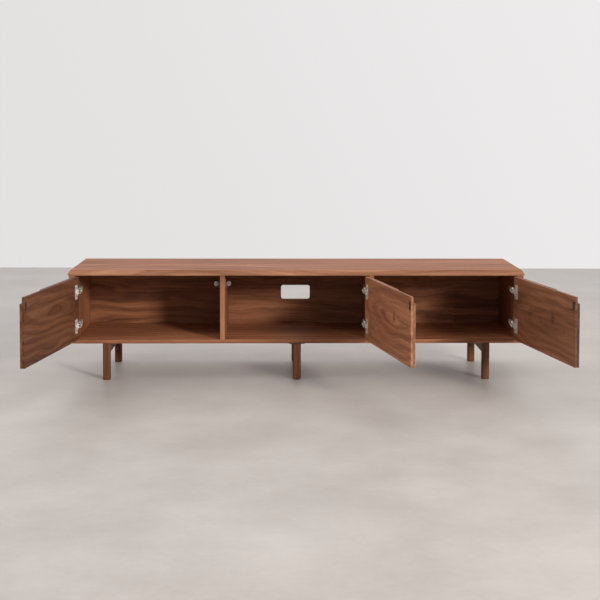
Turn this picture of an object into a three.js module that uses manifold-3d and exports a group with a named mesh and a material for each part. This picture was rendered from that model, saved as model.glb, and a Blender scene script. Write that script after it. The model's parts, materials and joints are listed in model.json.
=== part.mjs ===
// Low walnut television stand with three inset doors, shown with its doors swung open.
// Millimetres, +X to the right, +Y to the back, +Z up. The origin is under the middle of the
// whole part's box, on the floor.
import * as THREE from 'three';
import { mergeVertices } from 'three/addons/utils/BufferGeometryUtils.js';
import Module from 'manifold-3d';

const wasm = await Module();
wasm.setup();

// ---------------------------------------------------------------- driving dimensions
const width = 2000; // over the top
const depth = 450; // front edge of the top to the back
const caseHeight = 324; // underside of the bottom panel to the upper face of the top
const legHeight = 161; // floor to the underside of the bottom panel

const topThickness = 24;
const topBevelIn = 11;
const topBevelDown = 16;
const bottomThickness = 18;
const bottomBevelIn = 7;
const bottomBevelUp = 9;
const sideThickness = 27;
const sideInset = 4; // side panel behind the end of the top
const frontSetback = 3; // case front behind the front edge of the top
const dividerThickness = 21;
const backThickness = 10;

const slotWidth = 136;
const slotHeight = 66;
const slotRadius = 11;
const slotBelowTop = 158; // upper face of the top to the middle of the slot

const doorGap = 2; // beside a closed door
const doorEndGap = 2.5; // above and below a door
const doorRecess = 1; // door face behind the case front
const innerBoard = 10;
const faceBoard = 9;
const glueLine = 0.3;
const gripLength = 215; // finger recess along the top of a door, from its free edge
const gripHeight = 26;
const gripCorner = 3;

const pivotInPanel = 4; // virtual hinge axis, inside the panel that carries the door
const pivotAhead = 5; // and ahead of the closed door's face
const leftOpen = 99.9; // degrees, as shown
const middleOpen = 102.2;
const rightOpen = 100.9;

const hingeInset = 64; // door end to the middle of a hinge
const cupRadius = 17.5;
const cupDepth = 11.5;
const cupWall = 1.2;
const cupFromEdge = 22.5; // door edge to the middle of the cup
const flangeThick = 1.5;
const flangeRing = 19.5;
const wingHeight = 66;
const wingNear = 15; // door edge to the near side of the wings
const wingFar = 49;
const wingRadius = 8;

const armHalf = 9.5;
const armWall = 1.5;
const armTop = 20; // panel face to the outer face of the arm
const armLow = 10;
const armStart = 5; // behind the closed door's inner face
const armEnd = 70;
const channelStart = 12;
const noseHalf = 5;
const noseReach = 29;
const noseTip = 22;
const noseInCup = 8.8;
const noseShoulder = 1.3; // closed door's inner face to the corners of the nose
const noseHeel = 1.8;
const pinRadius = 2;
const pinOut = 25.5; // panel face to the link's pin
const pinInCup = 5.3;

const linkRatio = 1.25; // link turn for each turn of the door
const linkPlate = 2;
const linkHalfWidth = 2.5;
const elbowOut = 32.4; // link's elbow and end from its pin, door closed
const elbowBack = 25.1;
const tipOut = 49.8;
const tipBack = 19.7;

const plateBase = 2.5;
const plateHeight = 52;
const plateWide = 16;
const plateCorner = 7.7;
const plateFrom = 32; // behind the closed door's inner face
const ridgeFrom = 20;
const ridgeTo = 66;
const ridgeHalf = 7.5;
const ridgeOut = 17.8;

const catchRadius = 11;
const catchOut = 16; // divider face to the middle of the catch
const catchLength = 22;
const catchBelow = 36; // door top to the middle of the catch
const catchPlateHeight = 36;
const catchPlateWide = 16;
const catchPlate = 2.5;
const catchWeb = 12;
const strikeWide = 14;
const strikeHeight = 32;
const strikeThick = 1.2;
const strikeGap = 0.6; // strike to catch, door closed

const legWidth = 32;
const legCorner = 5;
const legFromEnd = 166; // end of the top to the middle of a leg
const legFrontInset = 6;
const legRearInset = 16;
const railHeight = 44;
const railInset = 3;
const railFillet = 18;
const centreLegRadius = 18;
const centreFootRound = 5;
const centreFootSteps = 4;
const centrePlate = 70;
const centrePlateThick = 3;
const centrePlateCorner = 8;
const centrePlateMargin = 1; // behind the bevel under the front edge
const glideRadius = 11;
const glideHeight = 1.5;

const fit = 0.3; // hardware to wood
const sides = 24; // facets of a round piece
const smallSides = 10; // facets of a pin or a link end
const arcSteps = 3; // pairs of facets in a rounded corner
const cutMargin = 1; // how far a cutter runs past what it cuts

// ---------------------------------------------------------------- derived places
const height = legHeight + caseHeight;
const halfWidth = width / 2;
const topUnder = height - topThickness;
const floorTop = legHeight + bottomThickness;
const sideOuter = halfWidth - sideInset;
const sideInner = sideOuter - sideThickness;
const bay = (2 * sideInner - 2 * dividerThickness) / 3; // clear width of a compartment
const dividerInner = bay / 2;
const dividerOuter = dividerInner + dividerThickness;
const backFace = depth - backThickness;

const doorWidth = bay - 2 * doorGap;
const doorThickness = innerBoard + glueLine + faceBoard;
const doorFace = frontSetback + doorRecess;
const doorBack = doorFace + doorThickness;
const doorLow = floorTop + doorEndGap;
const doorHigh = topUnder - doorEndGap;
const pivotY = doorFace - pivotAhead;
const hingeLevels = { upper: doorHigh - hingeInset, lower: doorLow + hingeInset };
const catchLevel = doorHigh - catchBelow;

const radians = (degrees) => (degrees * Math.PI) / 180;
const openDoorFront = (angle) => pivotY
  - Math.sin(radians(angle)) * (pivotInPanel + doorGap + doorWidth)
  + Math.cos(radians(angle)) * (pivotAhead + doorThickness);
const foremost = Math.min(...[leftOpen, middleOpen, rightOpen].map(openDoorFront));

// ---------------------------------------------------------------- finishes
const finish = (color, roughness, metalness) => (
  () => new THREE.MeshStandardMaterial({ color, roughness, metalness })
);
const walnut = finish(0x8a5538, 0.5, 0);
const nickel = finish(0xb9b4a9, 0.3, 1);
const grey = finish(0x8d8a86, 0.45, 0.4);
const black = finish(0x2a2725, 0.6, 0);

// ---------------------------------------------------------------- solids
/** A box given by its lowest and highest corners. */
function block(low, high) {
  const geometry = new THREE.BoxGeometry(2, 2, 2);
  const place = geometry.attributes.position;
  const pick = (sign, axis) => (sign < 0 ? low[axis] : high[axis]);
  for (let i = 0; i < place.count; i += 1) {
    place.setXYZ(i, pick(place.getX(i), 0), pick(place.getY(i), 1), pick(place.getZ(i), 2));
  }
  return geometry;
}

/** An outline carried along an axis between two planes. Outlines across x are (y, z), across
 *  y are (x, z) and across z are (x, y). */
function prism(outline, axis, from, to) {
  const geometry = new THREE.ExtrudeGeometry(outline, {
    depth: 1, bevelEnabled: false, curveSegments: arcSteps,
  });
  const place = geometry.attributes.position;
  for (let i = 0; i < place.count; i += 1) {
    const [u, v, far] = [place.getX(i), place.getY(i), place.getZ(i) > 0.5];
    if (axis === 'x') place.setXYZ(i, far ? to : from, u, v);
    else if (axis === 'y') place.setXYZ(i, u, far ? from : to, v);
    else place.setXYZ(i, u, v, far ? to : from);
  }
  return geometry;
}

function polygon(points) {
  return new THREE.Shape(points.map(([u, v]) => new THREE.Vector2(u, v)));
}

function roundedBox(shape, u0, u1, v0, v1, radius) {
  shape.moveTo(u0 + radius, v0);
  shape.lineTo(u1 - radius, v0);
  shape.absarc(u1 - radius, v0 + radius, radius, -Math.PI / 2, 0);
  shape.lineTo(u1, v1 - radius);
  shape.absarc(u1 - radius, v1 - radius, radius, 0, Math.PI / 2);
  shape.lineTo(u0 + radius, v1);
  shape.absarc(u0 + radius, v1 - radius, radius, Math.PI / 2, Math.PI);
  shape.lineTo(u0, v0 + radius);
  shape.absarc(u0 + radius, v0 + radius, radius, Math.PI, Math.PI * 1.5);
  return shape;
}

const roundedRect = (...size) => roundedBox(new THREE.Shape(), ...size);

/** A disc as a regular outline. */
function disc(u, v, radius, facets = sides) {
  return polygon(Array.from({ length: facets }, (_, i) => {
    const turn = (2 * Math.PI * i) / facets;
    return [u + radius * Math.cos(turn), v + radius * Math.sin(turn)];
  }));
}

function toSolid(geometry) {
  const bare = geometry.clone();
  bare.deleteAttribute('normal');
  bare.deleteAttribute('uv');
  const merged = mergeVertices(bare, 1e-4);
  return new wasm.Manifold(new wasm.Mesh({
    numProp: 3,
    vertProperties: new Float32Array(merged.attributes.position.array),
    triVerts: new Uint32Array(merged.index.array),
  }));
}

function toGeometry(solid) {
  const mesh = solid.getMesh();
  const geometry = new THREE.BufferGeometry();
  geometry.setAttribute('position', new THREE.BufferAttribute(mesh.vertProperties, 3));
  geometry.setIndex(new THREE.BufferAttribute(mesh.triVerts, 1));
  geometry.computeVertexNormals();
  return geometry;
}

const join = (...pieces) => toGeometry(pieces.map(toSolid).reduce((a, b) => a.add(b)));
const cut = (piece, ...cutters) => toGeometry(cutters.map(toSolid)
  .reduce((a, b) => a.subtract(b), toSolid(piece)));
const common = (a, b) => toGeometry(toSolid(a).intersect(toSolid(b)));

/** The piece for a door that is hung on its right, from the one hung on its left. */
function handed(geometry, hand) {
  if (hand > 0) return geometry;
  const flipped = geometry.index ? geometry.toNonIndexed() : geometry.clone();
  const place = flipped.attributes.position;
  for (let i = 0; i < place.count; i += 3) {
    const corners = [0, 2, 1].map((k) => [
      -place.getX(i + k), place.getY(i + k), place.getZ(i + k)]);
    corners.forEach((corner, k) => place.setXYZ(i + k, ...corner));
  }
  flipped.computeVertexNormals();
  return flipped;
}

function node(name, geometry, material) {
  const mesh = new THREE.Mesh(geometry, material());
  mesh.name = name;
  return mesh;
}

// ---------------------------------------------------------------- the case
function topPanel() {
  const fromSide = polygon([
    [0, topUnder], [depth, topUnder], [depth, height], [topBevelIn, height],
    [0, height - topBevelDown]]);
  const fromFront = polygon([
    [-halfWidth, topUnder], [halfWidth, topUnder], [halfWidth, height - topBevelDown],
    [halfWidth - topBevelIn, height], [topBevelIn - halfWidth, height],
    [-halfWidth, height - topBevelDown]]);
  return common(prism(fromSide, 'x', -halfWidth, halfWidth), prism(fromFront, 'y', 0, depth));
}

function bottomPanel() {
  const bevelTop = legHeight + bottomBevelUp;
  const fromSide = polygon([
    [frontSetback + bottomBevelIn, legHeight], [depth, legHeight], [depth, floorTop],
    [frontSetback, floorTop], [frontSetback, bevelTop]]);
  const fromFront = polygon([
    [bottomBevelIn - sideOuter, legHeight], [sideOuter - bottomBevelIn, legHeight],
    [sideOuter, bevelTop], [sideOuter, floorTop], [-sideOuter, floorTop],
    [-sideOuter, bevelTop]]);
  return common(
    prism(fromSide, 'x', -sideOuter, sideOuter), prism(fromFront, 'y', frontSetback, depth));
}

function backPanel() {
  const outline = polygon([
    [-sideInner, floorTop], [sideInner, floorTop], [sideInner, topUnder],
    [-sideInner, topUnder]]);
  const middle = height - slotBelowTop;
  outline.holes.push(roundedBox(
    new THREE.Path(), -slotWidth / 2, slotWidth / 2, middle - slotHeight / 2,
    middle + slotHeight / 2, slotRadius));
  return prism(outline, 'y', backFace, depth);
}

function caseMeshes() {
  const panel = (inner, outer, back) => block(
    [inner, frontSetback, floorTop], [outer, back, topUnder]);
  return [
    node('top_panel', topPanel(), walnut),
    node('bottom_panel', bottomPanel(), walnut),
    node('left_side_panel', panel(-sideOuter, -sideInner, depth), walnut),
    node('right_side_panel', panel(sideInner, sideOuter, depth), walnut),
    node('left_divider', panel(-dividerOuter, -dividerInner, backFace), walnut),
    node('right_divider', panel(dividerInner, dividerOuter, backFace), walnut),
    node('back_panel', backPanel(), walnut),
  ];
}

// ---------------------------------------------------------------- the legs
const legFrontY = legFrontInset + legWidth / 2;
const legRearY = depth - legRearInset - legWidth / 2;
const centrePlateY = {
  front: frontSetback + bottomBevelIn + centrePlateMargin + centrePlate / 2,
  rear: legRearY + centreLegRadius - centrePlate / 2,
};

function squareLeg(x, y) {
  const half = legWidth / 2;
  return prism(
    roundedRect(x - half, x + half, y - half, y + half, legCorner), 'z',
    glideHeight, legHeight);
}

function rail(x) {
  const [front, back] = [legFrontY + legWidth / 2, legRearY - legWidth / 2];
  const under = legHeight - railHeight;
  const half = legWidth / 2 - railInset;
  const outline = new THREE.Shape();
  outline.moveTo(front, legHeight);
  outline.lineTo(front, under - railFillet);
  outline.absarc(front + railFillet, under - railFillet, railFillet, Math.PI, Math.PI / 2, true);
  outline.lineTo(back - railFillet, under);
  outline.absarc(back - railFillet, under - railFillet, railFillet, Math.PI / 2, 0, true);
  outline.lineTo(back, legHeight);
  return prism(outline, 'x', x - half, x + half);
}

function roundLeg(y) {
  const high = legHeight - centrePlateThick;
  const steps = Array.from({ length: centreFootSteps + 1 }, (_, i) => i / centreFootSteps);
  const foot = steps.map((step) => (step * Math.PI) / 2).map((turn) => [
    centreLegRadius - centreFootRound * (1 - Math.sin(turn)),
    glideHeight + centreFootRound * (1 - Math.cos(turn))]);
  const profile = [[0, glideHeight], ...foot, [centreLegRadius, high], [0, high]];
  const turned = new THREE.LatheGeometry(
    profile.map(([radius, z]) => new THREE.Vector2(radius, z)), sides);
  return turned.rotateX(Math.PI / 2).translate(0, y, 0);
}

function centreLegPlate(y) {
  const half = centrePlate / 2;
  return prism(
    roundedRect(-half, half, y - half, y + half, centrePlateCorner), 'z',
    legHeight - centrePlateThick, legHeight);
}

function glide(x, y) {
  return prism(disc(x, y, glideRadius), 'z', 0, glideHeight);
}

function legMeshes() {
  const meshes = [];
  const rows = { front: legFrontY, rear: legRearY };
  const columns = { left: legFromEnd - halfWidth, center: 0, right: halfWidth - legFromEnd };
  for (const [column, x] of Object.entries(columns)) {
    for (const [row, y] of Object.entries(rows)) {
      const name = `${column}_${row}`;
      if (column === 'center') {
        meshes.push(node(`${name}_leg`, roundLeg(y), walnut));
        meshes.push(node(`${name}_leg_plate`, centreLegPlate(centrePlateY[row]), black));
      } else {
        meshes.push(node(`${name}_leg`, squareLeg(x, y), walnut));
      }
      meshes.push(node(`${name}_glide`, glide(x, y), black));
    }
    if (column !== 'center') meshes.push(node(`${column}_frame_rail`, rail(x), walnut));
  }
  return meshes;
}

// ---------------------------------------------------------------- a door, hung on its left
// These shapes are laid out with the door closed, from the hinge axis: x towards the free
// edge, y towards the back.
const edgeX = pivotInPanel + doorGap;
const freeX = edgeX + doorWidth;
const faceY = pivotAhead;
const glueY = pivotAhead + faceBoard;
const innerY = pivotAhead + doorThickness;
const cupX = edgeX + cupFromEdge;

function cupBore(level) {
  return prism(
    disc(cupX, level, cupRadius + fit), 'y', innerY - cupDepth - fit, innerY + cutMargin);
}

function bored(board) {
  return cut(board, ...Object.values(hingeLevels).map(cupBore));
}

function innerBoardShape() {
  return bored(block([edgeX, glueY + glueLine, doorLow], [freeX, innerY, doorHigh]));
}

function faceBoardShape() {
  const [stepX, stepZ] = [freeX - gripLength, doorHigh - gripHeight];
  const outline = new THREE.Shape();
  outline.moveTo(edgeX, doorLow);
  outline.lineTo(freeX, doorLow);
  outline.lineTo(freeX, stepZ);
  outline.lineTo(stepX + gripCorner, stepZ);
  outline.absarc(
    stepX + gripCorner, stepZ + gripCorner, gripCorner, -Math.PI / 2, -Math.PI, true);
  outline.lineTo(stepX, doorHigh);
  outline.lineTo(edgeX, doorHigh);
  return bored(prism(outline, 'y', faceY, glueY));
}

function hingeCup(level) {
  const seat = innerY + fit;
  const lip = seat + flangeThick;
  const wings = roundedRect(
    edgeX + wingNear, edgeX + wingFar, level - wingHeight / 2, level + wingHeight / 2,
    wingRadius);
  const body = join(
    prism(disc(cupX, level, cupRadius), 'y', innerY - cupDepth, lip),
    prism(disc(cupX, level, flangeRing), 'y', seat, lip),
    prism(wings, 'y', seat, lip));
  return cut(body, prism(
    disc(cupX, level, cupRadius - cupWall), 'y', innerY - cupDepth + cupWall,
    lip + cutMargin));
}

function strike() {
  const middle = freeX - (catchOut - doorGap);
  return block(
    [middle - strikeWide / 2, innerY + fit, catchLevel - strikeHeight / 2],
    [middle + strikeWide / 2, innerY + fit + strikeThick, catchLevel + strikeHeight / 2]);
}

// ---------------------------------------------------------------- hinge pieces on the case
// Laid out from the face of the panel: x out of the panel, y from the front of the part.
function hingeArm(level) {
  const at = (y) => doorBack + y;
  const channel = block(
    [armLow, at(armStart), level - armHalf], [armTop, at(armEnd), level + armHalf]);
  const hollow = block(
    [0, at(channelStart), level - armHalf + armWall],
    [armTop - armWall, at(armEnd) + cutMargin, level + armHalf - armWall]);
  const nose = polygon([
    [noseTip, at(-noseInCup)], [noseReach, at(-noseInCup)], [noseReach, at(-noseShoulder)],
    [armTop, at(channelStart)], [armLow, at(channelStart)], [armLow, at(armStart)],
    [noseTip - pinInCup, at(-noseHeel)]]);
  const pinHole = disc(pinOut, at(-pinInCup), pinRadius + fit, smallSides);
  const body = join(channel, prism(nose, 'z', level - noseHalf, level + noseHalf));
  return cut(body, hollow, prism(
    pinHole, 'z', level - noseHalf - cutMargin, level + noseHalf + cutMargin));
}

function mountingPlate(level) {
  const base = roundedRect(
    doorBack + plateFrom, doorBack + plateFrom + plateWide,
    level - plateHeight / 2, level + plateHeight / 2, plateCorner);
  return join(
    prism(base, 'x', fit, fit + plateBase),
    block([fit, doorBack + ridgeFrom, level - ridgeHalf],
      [ridgeOut, doorBack + ridgeTo, level + ridgeHalf]));
}

function magneticCatch() {
  const front = doorBack + fit + strikeThick + strikeGap;
  const middle = front + catchLength / 2;
  return join(
    prism(disc(catchOut, catchLevel, catchRadius), 'y', front, front + catchLength),
    block([fit, middle - catchPlateWide / 2, catchLevel - catchPlateHeight / 2],
      [fit + catchPlate, middle + catchPlateWide / 2, catchLevel + catchPlateHeight / 2]),
    block([fit + catchPlate / 2, middle - catchPlateWide / 2, catchLevel - catchWeb / 2],
      [catchOut, middle + catchPlateWide / 2, catchLevel + catchWeb / 2]));
}

/** The link between arm and cup, door closed, from its own pin. */
function hingeLink() {
  const [inner, outer] = [noseHalf + fit, noseHalf + fit + linkPlate];
  const bar = (from, to) => {
    const along = new THREE.Vector2(to[0] - from[0], to[1] - from[1]).normalize();
    const [sx, sy] = [-along.y * linkHalfWidth, along.x * linkHalfWidth];
    return polygon([
      [from[0] - sx, from[1] - sy], [to[0] - sx, to[1] - sy],
      [to[0] + sx, to[1] + sy], [from[0] + sx, from[1] + sy]]);
  };
  const [pin, elbow, tip] = [[0, 0], [elbowOut, elbowBack], [tipOut, tipBack]];
  const end = ([x, y]) => disc(x, y, linkHalfWidth, smallSides);
  const cheek = (low, high) => [
    bar(pin, elbow), bar(elbow, tip), end(pin), end(elbow), end(tip),
  ].map((outline) => prism(outline, 'z', low, high));
  return join(
    ...cheek(inner, outer), ...cheek(-outer, -inner),
    prism(disc(0, 0, pinRadius, smallSides), 'z', -outer, outer),
    prism(end(tip), 'z', -outer, outer));
}

// ---------------------------------------------------------------- the three doors
// face is the panel face that carries the door, stop the one it closes against.
const doors = [
  { name: 'left', face: -sideInner, stop: -dividerOuter, hand: 1, open: leftOpen },
  { name: 'middle', face: dividerInner, stop: -dividerInner, hand: -1, open: middleOpen },
  { name: 'right', face: sideInner, stop: dividerOuter, hand: -1, open: rightOpen },
];

function turned(x, y, z, degrees) {
  const frame = new THREE.Group();
  frame.position.set(x, y, z);
  frame.rotation.z = radians(degrees);
  return frame;
}

function doorMeshes({ name, face, stop, hand, open }) {
  const add = (parent, label, geometry, material) => parent.add(
    node(`${name}_${label}`, handed(geometry, hand), material));
  const leaf = turned(face - hand * pivotInPanel, pivotY, 0, -hand * open);
  add(leaf, 'door_inner_board', innerBoardShape(), walnut);
  add(leaf, 'door_face_board', faceBoardShape(), walnut);
  add(leaf, 'door_strike', strike(), grey);
  const fixed = turned(face, 0, 0, 0);
  const parts = [leaf, fixed];
  for (const [row, level] of Object.entries(hingeLevels)) {
    add(leaf, `${row}_hinge_cup`, hingeCup(level), nickel);
    add(fixed, `${row}_hinge_arm`, hingeArm(level), nickel);
    add(fixed, `${row}_hinge_plate`, mountingPlate(level), nickel);
    const link = turned(
      face + hand * pinOut, doorBack - pinInCup, level, -hand * linkRatio * open);
    add(link, `${row}_hinge_link`, hingeLink(), nickel);
    parts.push(link);
  }
  const closing = turned(stop, 0, 0, 0);
  closing.add(node(`${name}_catch`, handed(magneticCatch(), -hand), grey));
  return [...parts, closing];
}

// ---------------------------------------------------------------- the whole part
const stand = new THREE.Group();
stand.add(...caseMeshes(), ...legMeshes(), ...doors.flatMap(doorMeshes));
stand.position.y = -(foremost + depth) / 2;

const part = new THREE.Group();
part.add(stand);

export default part;
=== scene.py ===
"""Looks for a low walnut television stand with three doors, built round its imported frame.

Metres, +X to the right, +Y to the back, +Z up. The boards are eased copies of the frame's
boards, the turned and pressed pieces are shaped here, and the screws come from one node tree.
"""

from __future__ import annotations

import json
import logging
import math
from dataclasses import dataclass
from enum import Enum
from typing import Any, Callable, Dict, List, Optional, Sequence, Tuple

import bmesh
import bpy
from mathutils import Matrix, Vector


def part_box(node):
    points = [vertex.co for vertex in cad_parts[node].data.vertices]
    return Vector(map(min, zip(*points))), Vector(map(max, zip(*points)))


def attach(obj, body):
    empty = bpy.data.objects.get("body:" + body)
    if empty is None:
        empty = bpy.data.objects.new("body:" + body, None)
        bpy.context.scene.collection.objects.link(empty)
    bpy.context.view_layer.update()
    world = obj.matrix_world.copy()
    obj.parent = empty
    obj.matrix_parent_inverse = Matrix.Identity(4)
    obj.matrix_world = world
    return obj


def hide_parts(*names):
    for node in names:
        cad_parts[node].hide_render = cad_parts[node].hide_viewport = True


LOG = logging.getLogger("stand")

MM = 0.001
MERGE = 0.02 * MM
SAME_PLANE = math.radians(1.0)
SHARP_EDGE = math.radians(30.0)

Colour = Tuple[float, float, float]
Point = Tuple[float, float, float]
Place = Callable[[float, float, float], Vector]


# ------------------------------------------------------------------------------ node helpers
class Value:
    """A number socket that can be used in arithmetic."""

    def __init__(self, graph: "Graph", socket: bpy.types.NodeSocket) -> None:
        """Wraps one output socket of a graph."""
        self.graph = graph
        self.socket = socket

    def _math(self, operation: str, first: Any, second: Any = 0.0) -> "Value":
        """Adds one Math node.

        Args:
            operation: The Math node's operation.
            first: A Value or a number.
            second: A Value or a number.

        Returns:
            The node's result.
        """
        settings = {"operation": operation}
        return self.graph.value("ShaderNodeMath", settings, {0: first, 1: second})

    def __add__(self, other: Any) -> "Value":
        """Sum."""
        return self._math("ADD", self, other)

    __radd__ = __add__

    def __sub__(self, other: Any) -> "Value":
        """Difference."""
        return self._math("SUBTRACT", self, other)

    def __rsub__(self, other: Any) -> "Value":
        """Difference from a number."""
        return self._math("SUBTRACT", other, self)

    def __mul__(self, other: Any) -> "Value":
        """Product."""
        return self._math("MULTIPLY", self, other)

    __rmul__ = __mul__

    def __truediv__(self, other: Any) -> "Value":
        """Quotient."""
        return self._math("DIVIDE", self, other)

    def root(self) -> "Value":
        """Square root."""
        return self._math("SQRT", self)

    def wave(self) -> "Value":
        """A smooth wave from 0 to 1 with one turn to each unit."""
        return self._math("SINE", self * (2 * math.pi)) * 0.5 + 0.5

    def between(self, low: float, high: float) -> "Value":
        """Smooth step.

        Args:
            low: Where the step starts.
            high: Where the step ends.

        Returns:
            0 under low, 1 over high.
        """
        settings = {"interpolation_type": "SMOOTHSTEP"}
        sockets = {"Value": self, "From Min": low, "From Max": high}
        return self.graph.value("ShaderNodeMapRange", settings, sockets)


class Graph:
    """The node tree of one material, world or shape."""

    def __init__(self, tree: bpy.types.NodeTree) -> None:
        """Empties a tree and starts a graph on it."""
        self.tree = tree
        tree.nodes.clear()

    def node(self, kind: str, settings: Dict[str, Any], sockets: Dict[Any, Any]) -> bpy.types.Node:
        """Adds a node of any kind.

        Args:
            kind: The node's type name.
            settings: Properties that are set before its sockets. "stops" fills a colour ramp.
            sockets: Values or links, by socket name or number. A list is several links.

        Returns:
            The node.
        """
        made = self.tree.nodes.new(kind)
        for key, setting in settings.items():
            if key == "stops":
                self._stops(made, setting)
            else:
                setattr(made, key, setting)
        for key, given in sockets.items():
            for one in given if isinstance(given, list) else [given]:
                source = one.socket if isinstance(one, Value) else one
                if isinstance(source, bpy.types.NodeSocket):
                    self.tree.links.new(source, made.inputs[key])
                else:
                    made.inputs[key].default_value = source
        return made

    @staticmethod
    def _stops(ramp: bpy.types.Node, stops: Sequence[Tuple[float, Colour]]) -> None:
        """Fills a colour ramp with its stops.

        Args:
            ramp: The colour ramp node.
            stops: Positions and colours, in order.
        """
        elements = ramp.color_ramp.elements
        while len(elements) < len(stops):
            elements.new(0.5)
        for element, (position, colour) in zip(elements, stops):
            element.position = position
            element.color = (*colour, 1.0)

    def value(self, kind: str, settings: Dict[str, Any], sockets: Dict[Any, Any]) -> Value:
        """Adds a node and returns its first output as a number."""
        return Value(self, self.node(kind, settings, sockets).outputs[0])

    def vector(self, x: Any, y: Any, z: Any) -> bpy.types.NodeSocket:
        """Three numbers as one vector."""
        return self.node("ShaderNodeCombineXYZ", {}, {0: x, 1: y, 2: z}).outputs[0]

    def parts(self, vector: bpy.types.NodeSocket) -> Tuple[Value, Value, Value]:
        """The three numbers of a vector.

        Args:
            vector: The vector's socket.

        Returns:
            One number for each axis.
        """
        split = self.node("ShaderNodeSeparateXYZ", {}, {0: vector})
        return (Value(self, split.outputs[0]), Value(self, split.outputs[1]),
                Value(self, split.outputs[2]))

    def here(self) -> bpy.types.NodeSocket:
        """The point on the piece, in metres."""
        return self.node("ShaderNodeTexCoord", {}, {}).outputs["Object"]

    def stretched(
        self, vector: bpy.types.NodeSocket, scale: Point, offset: Point
    ) -> bpy.types.NodeSocket:
        """A vector scaled along each axis and then moved."""
        sockets = {"Vector": vector, "Location": offset, "Scale": scale}
        return self.node("ShaderNodeMapping", {"vector_type": "POINT"}, sockets).outputs[0]

    def noise(self, vector: bpy.types.NodeSocket, detail: float, rough: float = 0.5) -> Value:
        """Smooth noise, about 0.5, at one lump to each unit."""
        sockets = {"Vector": vector, "Scale": 1.0, "Detail": detail, "Roughness": rough}
        return self.value("ShaderNodeTexNoise", {}, sockets)

    def ramp(self, factor: Value, stops: Sequence[Tuple[float, Colour]]) -> bpy.types.NodeSocket:
        """A colour by a number."""
        return self.node("ShaderNodeValToRGB", {"stops": stops}, {0: factor}).outputs[0]

    def mix(self, factor: Any, first: Any, second: Any, blend: str = "MIX") -> Any:
        """Mixes two colours.

        Args:
            factor: How much of the second.
            first: A colour or a socket.
            second: A colour or a socket.
            blend: How the second lies on the first.

        Returns:
            The mixed colour's socket.
        """
        settings = {"data_type": "RGBA", "blend_type": blend}
        given = [c if isinstance(c, bpy.types.NodeSocket) else (*c, 1.0) for c in (first, second)]
        sockets = {0: factor, 6: given[0], 7: given[1]}
        return self.node("ShaderNodeMix", settings, sockets).outputs[2]

    def bump(self, height: Value, distance: float, strength: float) -> bpy.types.NodeSocket:
        """A normal from a height, with its depth in metres."""
        sockets = {"Height": height, "Distance": distance, "Strength": strength}
        return self.node("ShaderNodeBump", {}, sockets).outputs[0]

    def surface(self, sockets: Dict[str, Any]) -> None:
        """Ends the graph in a Principled shader with these sockets."""
        shader = self.node("ShaderNodeBsdfPrincipled", {}, sockets)
        self.node("ShaderNodeOutputMaterial", {}, {0: shader.outputs[0]})


def material(name: str) -> Tuple[bpy.types.Material, Graph]:
    """A new material and its empty graph.

    Args:
        name: Its name.

    Returns:
        The material and its graph.
    """
    made = bpy.data.materials.new(name)
    made.use_nodes = True
    return made, Graph(made.node_tree)


# ---------------------------------------------------------------------------------- finishes
class Lay(Enum):
    """How a board is cut: the axes along its grain, across it and through it."""

    FLAT = (0, 1, 2)
    FRONT = (0, 2, 1)
    UPRIGHT = (2, 1, 0)
    RUNNER = (1, 2, 0)


@dataclass(frozen=True)
class Figure:
    """The eye of a board's grain, round which its rings bend.

    The knot is the radius of the small dark knot in the eye, or 0 without one.
    """

    along: float
    across: float
    length: float = 5.0
    core: float = 0.012
    knot: float = 0.0


@dataclass(frozen=True)
class EdgeToneAndLight:
    """A band along one edge of a board whose tone multiplies the wood: painted highlight on lit
    edges and painted shade on shaded ones, with the edge's own tone.
    """

    axis: int
    at: float
    side: float
    # The default tone lightens the band: a painted highlight on the case's front edges.
    tone: Colour = (1.14, 1.20, 1.27)


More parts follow.
